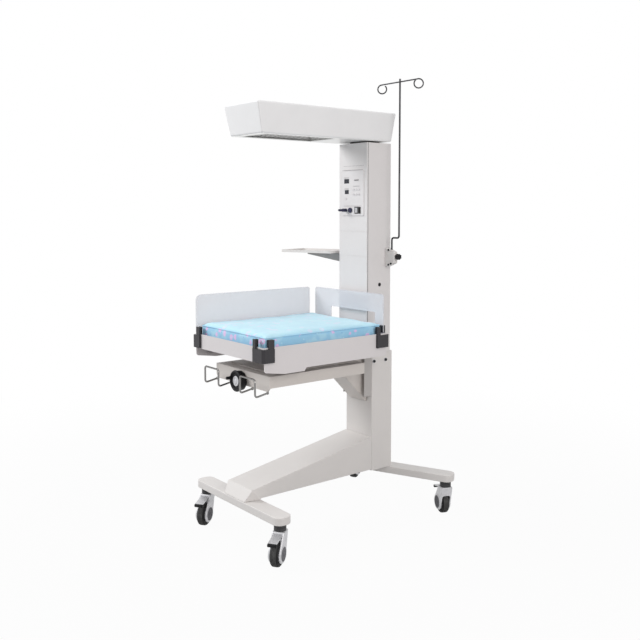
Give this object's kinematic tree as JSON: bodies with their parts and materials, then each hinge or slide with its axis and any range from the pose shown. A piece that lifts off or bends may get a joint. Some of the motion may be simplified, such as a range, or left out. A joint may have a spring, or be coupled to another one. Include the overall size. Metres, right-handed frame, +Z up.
{
  "type": "infant radiant warmer",
  "caption": "Open infant warmer: braked casters under a low base, a rear column with a heater hood, controls, a tray and a drip pole, and a tilting bed with clear side panels.",
  "frame": {"origin": "middle of the outline in plan, on the floor", "axes": "+X to the right of someone at the foot of the bed who faces the column, +Y from the foot of the bed to the column, +Z up"},
  "size_m": [0.7904, 1.0524, 1.928],
  "materials": {
    "white_paint": "satin off-white powder coat",
    "base_paint": "satin pale grey-white powder coat",
    "bed_paint": "satin warm white powder coat",
    "channel_paint": "satin grey paint",
    "caster_metal": "satin silver-grey",
    "hub_grey": "matt grey",
    "tyre_black": "matt black",
    "dark_plastic": "fine-grained black",
    "clip_plastic": "matt blue-black",
    "navy_plastic": "navy",
    "chrome": "polished",
    "reflector_metal": "bright",
    "quartz": "fine-frosted quartz",
    "acrylic": "clear, slightly frosted",
    "mattress_fabric": "coated cloth, printed in pale blue with small spots",
    "console_film": "fine-textured film",
    "display_black": "smoked window"
  },
  "bodies": {
    "frame": {"front_crossbar": "base_paint", "rear_leg_bar": "base_paint", "centre_beam": "base_paint", "lower_column": "base_paint", "upper_housing": "white_paint", "rear_cover": "white_paint", "column_mount_channel": "channel_paint", "under_frame": "bed_paint", "gusset_bracket": "bed_paint", "tilt_shaft": "chrome", "wire_hook_right": "chrome", "wire_hook_left": "chrome", "control_panel": "console_film", "display_upper": "display_black", "display_lower": "display_black", "socket_cap": "navy_plastic", "hood_turntable": "dark_plastic", "pole_clamp": "base_paint", "caster_collar_front_left": "dark_plastic", "caster_collar_front_right": "dark_plastic", "caster_collar_rear_left": "dark_plastic", "caster_collar_rear_right": "dark_plastic"},
    "swivel_front_left": {"caster_fork_front_left": "caster_metal"},
    "wheel_front_left": {"caster_tyre_front_left": "tyre_black", "caster_hub_front_left": "hub_grey"},
    "brake_front_left": {"caster_pedal_front_left": "caster_metal"},
    "swivel_front_right": {"caster_fork_front_right": "caster_metal"},
    "wheel_front_right": {"caster_tyre_front_right": "tyre_black", "caster_hub_front_right": "hub_grey"},
    "brake_front_right": {"caster_pedal_front_right": "caster_metal"},
    "swivel_rear_left": {"caster_fork_rear_left": "caster_metal"},
    "wheel_rear_left": {"caster_tyre_rear_left": "tyre_black", "caster_hub_rear_left": "hub_grey"},
    "brake_rear_left": {"caster_pedal_rear_left": "caster_metal"},
    "swivel_rear_right": {"caster_fork_rear_right": "caster_metal"},
    "wheel_rear_right": {"caster_tyre_rear_right": "tyre_black", "caster_hub_rear_right": "hub_grey"},
    "brake_rear_right": {"caster_pedal_rear_right": "caster_metal"},
    "bed": {"tilt_lever": "channel_paint", "bed_tub": "bed_paint", "clip_front_left": "clip_plastic", "clip_front_right": "clip_plastic", "clip_rear_left": "clip_plastic", "clip_rear_right": "clip_plastic", "mattress": "mattress_fabric"},
    "left_panel": {"left_panel": "acrylic"},
    "head_panel": {"head_panel": "acrylic"},
    "handwheel": {"handwheel": "dark_plastic", "lead_screw": "chrome"},
    "lift_nut": {"lift_nut": "channel_paint"},
    "hood": {"hood_shell": "white_paint", "hood_reflector": "reflector_metal", "heater_element": "quartz", "guard_grille": "chrome"},
    "tray": {"tray_arm": "channel_paint", "instrument_tray": "base_paint"},
    "drip_pole": {"drip_pole": "chrome"},
    "clamp_knob": {"clamp_knob": "dark_plastic"},
    "rocker_switch": {"rocker_switch": "dark_plastic"},
    "sensor_plug": {"sensor_plug": "navy_plastic"}
  },
  "joints": [
    {"name": "swivel_turn_front_left", "type": "hinge", "parent": "frame", "child": "swivel_front_left", "pos_m": [-0.2323, -0.4398, 0], "axis": [0, 0, 1], "continuous": true},
    {"name": "wheel_spin_front_left", "type": "hinge", "parent": "swivel_front_left", "child": "wheel_front_left", "pos_m": [-0.2137, -0.46706, 0.05], "axis": [0.8261, 0.5635, 0], "continuous": true},
    {"name": "brake_press_front_left", "type": "hinge", "parent": "swivel_front_left", "child": "brake_front_left", "pos_m": [-0.21709, -0.4621, 0.1164], "axis": [0.8261, 0.5635, 0], "range_deg": [0, 6]},
    {"name": "swivel_turn_front_right", "type": "hinge", "parent": "frame", "child": "swivel_front_right", "pos_m": [0.3077, -0.4398, 0], "axis": [0, 0, 1], "continuous": true},
    {"name": "wheel_spin_front_right", "type": "hinge", "parent": "swivel_front_right", "child": "wheel_front_right", "pos_m": [0.3263, -0.46706, 0.05], "axis": [0.8261, 0.5635, 0], "continuous": true},
    {"name": "brake_press_front_right", "type": "hinge", "parent": "swivel_front_right", "child": "brake_front_right", "pos_m": [0.32292, -0.4621, 0.1164], "axis": [0.8261, 0.5635, 0], "range_deg": [0, 6]},
    {"name": "swivel_turn_rear_left", "type": "hinge", "parent": "frame", "child": "swivel_rear_left", "pos_m": [-0.2803, 0.4362, 0], "axis": [0, 0, 1], "continuous": true},
    {"name": "wheel_spin_rear_left", "type": "hinge", "parent": "swivel_rear_left", "child": "wheel_rear_left", "pos_m": [-0.29579, 0.46534, 0.05], "axis": [-0.8829, -0.4695, 0], "continuous": true},
    {"name": "brake_press_rear_left", "type": "hinge", "parent": "swivel_rear_left", "child": "brake_rear_left", "pos_m": [-0.29298, 0.46004, 0.1164], "axis": [-0.8829, -0.4695, 0], "range_deg": [0, 6]},
    {"name": "swivel_turn_rear_right", "type": "hinge", "parent": "frame", "child": "swivel_rear_right", "pos_m": [0.3557, 0.4362, 0], "axis": [0, 0, 1], "continuous": true},
    {"name": "wheel_spin_rear_right", "type": "hinge", "parent": "swivel_rear_right", "child": "wheel_rear_right", "pos_m": [0.32567, 0.44988, 0.05], "axis": [-0.4147, -0.91, 0], "continuous": true},
    {"name": "brake_press_rear_right", "type": "hinge", "parent": "swivel_rear_right", "child": "brake_rear_right", "pos_m": [0.33113, 0.4474, 0.1164], "axis": [-0.4147, -0.91, 0], "range_deg": [0, 6]},
    {"name": "bed_tilt", "type": "hinge", "parent": "frame", "child": "bed", "pos_m": [0.0377, -0.1818, 0.748], "axis": [1, 0, 0], "range_deg": [-4, 10]},
    {"name": "handwheel_turn", "type": "hinge", "parent": "frame", "child": "handwheel", "pos_m": [0.0377, -0.4618, 0.67], "axis": [0, -1, 0], "range_deg": [-244, 609]},
    {"name": "lift_nut_slide", "type": "slide", "parent": "frame", "child": "lift_nut", "axis": [0, 1, 0], "range_m": [-0.00415, 0.01022]},
    {"name": "left_panel_lift", "type": "slide", "parent": "bed", "child": "left_panel", "axis": [0, 0, 1], "range_m": [0, 0.03]},
    {"name": "head_panel_lift", "type": "slide", "parent": "bed", "child": "head_panel", "axis": [0, 0, 1], "range_m": [0, 0.03]},
    {"name": "hood_swivel", "type": "hinge", "parent": "frame", "child": "hood", "pos_m": [0.0377, 0.2302, 1.661], "axis": [0, 0, 1], "range_deg": [-90, 50]},
    {"name": "tray_swing", "type": "hinge", "parent": "frame", "child": "tray", "pos_m": [-0.0823, 0.2182, 1.163], "axis": [0, 0, 1], "range_deg": [-45, 24]},
    {"name": "pole_turn", "type": "hinge", "parent": "frame", "child": "drip_pole", "pos_m": [0.1677, 0.2772, 1.11], "axis": [0, 0, 1], "range_deg": [0, 90]},
    {"name": "clamp_knob_turn", "type": "hinge", "parent": "frame", "child": "clamp_knob", "pos_m": [0.1947, 0.2772, 1.155], "axis": [1, 0, 0], "range_deg": [0, 360]},
    {"name": "rocker_press", "type": "hinge", "parent": "frame", "child": "rocker_switch", "pos_m": [0.0747, 0.1609, 1.36], "axis": [0, 0, 1], "range_deg": [-8, 8]},
    {"name": "sensor_plug_pull", "type": "slide", "parent": "frame", "child": "sensor_plug", "axis": [0, -1, 0], "range_m": [0, 0.012]}
  ],
  "couplings": [
    {"joint": "handwheel_turn", "follows": "bed_tilt", "ratio": 60.737},
    {"joint": "lift_nut_slide", "follows": "bed_tilt", "m_per_rad": 0.058}
  ]
}
